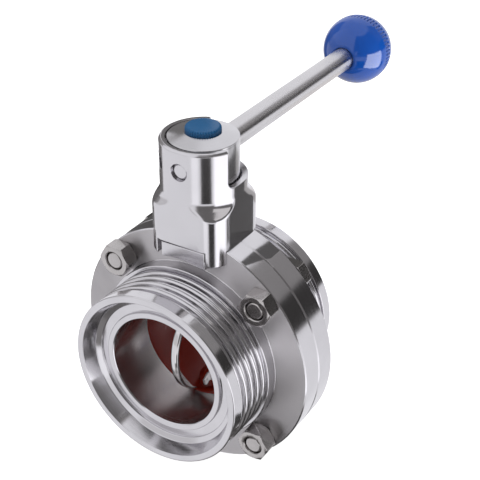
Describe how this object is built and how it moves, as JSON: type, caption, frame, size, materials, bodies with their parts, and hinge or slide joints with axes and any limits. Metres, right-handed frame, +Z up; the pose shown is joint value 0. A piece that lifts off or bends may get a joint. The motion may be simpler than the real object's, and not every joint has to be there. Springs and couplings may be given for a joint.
{
  "type": "sanitary butterfly valve",
  "caption": "Hygienic quarter-turn butterfly valve with male round-thread union ends, bolted split body, silicone seat and a pull-to-unlock rod handle with a blue ball.",
  "frame": {"origin": "where the pipe axis and the stem axis cross, on the seam of the two body halves", "axes": "+Y along the pipe, away from the front port; +Z up along the stem to the handle; +X to the right seen from the front port"},
  "size_m": [0.1098, 0.1856, 0.1562],
  "materials": {
    "turned_steel": "turned and polished stainless steel",
    "satin_steel": "satin stainless steel",
    "polished_steel": "mirror-polished stainless steel",
    "fastener_steel": "plain stainless steel",
    "red_silicone": "smooth silicone",
    "black_rubber": "smooth rubber",
    "white_plastic": "plain white bearing plastic",
    "blue_plastic": "glossy moulded plastic",
    "blue_button": "moulded plastic, slightly dull",
    "brass": "plain brass"
  },
  "bodies": {
    "valve_body": {"front_body_half": "turned_steel", "rear_body_half": "turned_steel", "seat_ring": "red_silicone", "upper_stem_bush": "white_plastic", "lower_stem_bush": "white_plastic", "flange_bolts": "fastener_steel", "flange_nuts": "fastener_steel", "handle_bracket": "satin_steel", "thrust_washer": "white_plastic"},
    "rotor": {"disc": "polished_steel", "drive_stem": "polished_steel", "stem_o_ring": "black_rubber", "handle_hub": "satin_steel", "hub_cap": "satin_steel", "cap_button": "blue_button", "hub_washer": "fastener_steel", "hub_screw": "fastener_steel", "guide_bush": "satin_steel"},
    "pull_rod": {"handle_rod": "polished_steel", "lock_pin": "satin_steel", "snap_ring": "fastener_steel", "lock_spring": "fastener_steel", "ball_knob": "blue_plastic", "knob_insert": "brass"}
  },
  "joints": [
    {"name": "handle_turn", "type": "hinge", "parent": "valve_body", "child": "rotor", "pos_m": [0, 0, 0.0853], "axis": [0, 0, 1], "range_deg": [-90, 0]},
    {"name": "handle_pull", "type": "slide", "parent": "rotor", "child": "pull_rod", "axis": [0, 1, 0], "range_m": [-0.0014, 0.005], "stiffness_N_per_m": 1200, "springref_m": -0.008, "deforming": ["lock_spring"]}
  ]
}
